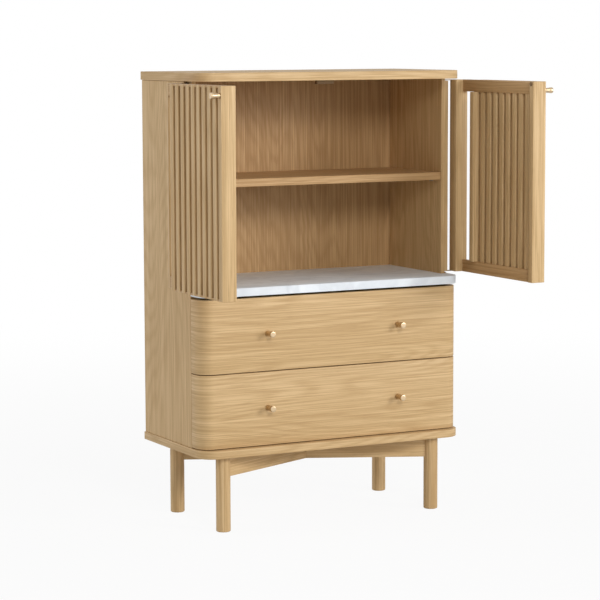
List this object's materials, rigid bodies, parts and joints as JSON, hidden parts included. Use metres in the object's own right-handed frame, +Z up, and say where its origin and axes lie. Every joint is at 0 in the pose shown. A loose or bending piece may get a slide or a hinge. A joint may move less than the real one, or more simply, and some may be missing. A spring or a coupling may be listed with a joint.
{
  "type": "tall bar cabinet",
  "caption": "Tall oak bar cabinet on round legs, with slatted hinged doors over a stone shelf and wide drawers with rounded front corners and brass knobs.",
  "frame": {"origin": "on the floor, under the middle of the box of the cabinet with its doors open", "axes": "+Z up, the front with the doors and drawers faces -Y, +X to the right as seen from the front"},
  "size_m": [1.133, 0.7566, 1.376],
  "materials": {
    "oak": "pale oak, satin lacquer",
    "inner_oak": "oak, satin lacquer",
    "stone": "pale veined stone, honed",
    "brass": "satin",
    "steel": "satin"
  },
  "bodies": {
    "cabinet": {"back_panel": "inner_oak", "bottom_panel": "oak", "brace_rail_left": "oak", "brace_rail_right": "oak", "door_catch": "steel", "left_lower_hinge_pin_leaf": "steel", "left_side_panel": "oak", "left_upper_hinge_pin_leaf": "steel", "leg_back_left": "oak", "leg_back_right": "oak", "leg_front_left": "oak", "leg_front_right": "oak", "lower_runner_channel_left": "steel", "lower_runner_channel_right": "steel", "right_lower_hinge_pin_leaf": "steel", "right_side_panel": "oak", "right_upper_hinge_pin_leaf": "steel", "shelf": "inner_oak", "shelf_pin_left_back": "steel", "shelf_pin_left_front": "steel", "shelf_pin_right_back": "steel", "shelf_pin_right_front": "steel", "stone_deck": "inner_oak", "stone_shelf": "stone", "top_panel": "oak", "upper_runner_channel_left": "steel", "upper_runner_channel_right": "steel"},
    "left_door": {"left_door_catch_plate": "steel", "left_door_hinge_post": "oak", "left_door_knob": "brass", "left_door_leading_stile": "oak", "left_door_slat_panel": "oak", "left_lower_hinge_eye_leaf": "steel", "left_upper_hinge_eye_leaf": "steel"},
    "right_door": {"right_door_catch_plate": "steel", "right_door_hinge_post": "oak", "right_door_knob": "brass", "right_door_leading_stile": "oak", "right_door_slat_panel": "oak", "right_lower_hinge_eye_leaf": "steel", "right_upper_hinge_eye_leaf": "steel"},
    "upper_drawer": {"upper_drawer_back": "inner_oak", "upper_drawer_bottom": "inner_oak", "upper_drawer_front": "oak", "upper_drawer_knob_left": "brass", "upper_drawer_knob_right": "brass", "upper_drawer_side_left": "inner_oak", "upper_drawer_side_right": "inner_oak", "upper_runner_bar_left": "steel", "upper_runner_bar_right": "steel"},
    "lower_drawer": {"lower_drawer_back": "inner_oak", "lower_drawer_bottom": "inner_oak", "lower_drawer_front": "oak", "lower_drawer_knob_left": "brass", "lower_drawer_knob_right": "brass", "lower_drawer_side_left": "inner_oak", "lower_drawer_side_right": "inner_oak", "lower_runner_bar_left": "steel", "lower_runner_bar_right": "steel"}
  },
  "joints": [
    {"name": "left_door_hinge", "type": "hinge", "parent": "cabinet", "child": "left_door", "pos_m": [-0.4406, 0.06085, 1.04355], "axis": [0, 0, 1], "range_deg": [-15, 90]},
    {"name": "right_door_hinge", "type": "hinge", "parent": "cabinet", "child": "right_door", "pos_m": [0.4406, 0.06085, 1.04355], "axis": [0, 0, 1], "range_deg": [-90, 15]},
    {"name": "upper_drawer_slide", "type": "slide", "parent": "cabinet", "child": "upper_drawer", "axis": [0, -1, 0], "range_m": [0, 0.26]},
    {"name": "lower_drawer_slide", "type": "slide", "parent": "cabinet", "child": "lower_drawer", "axis": [0, -1, 0], "range_m": [0, 0.26]}
  ]
}
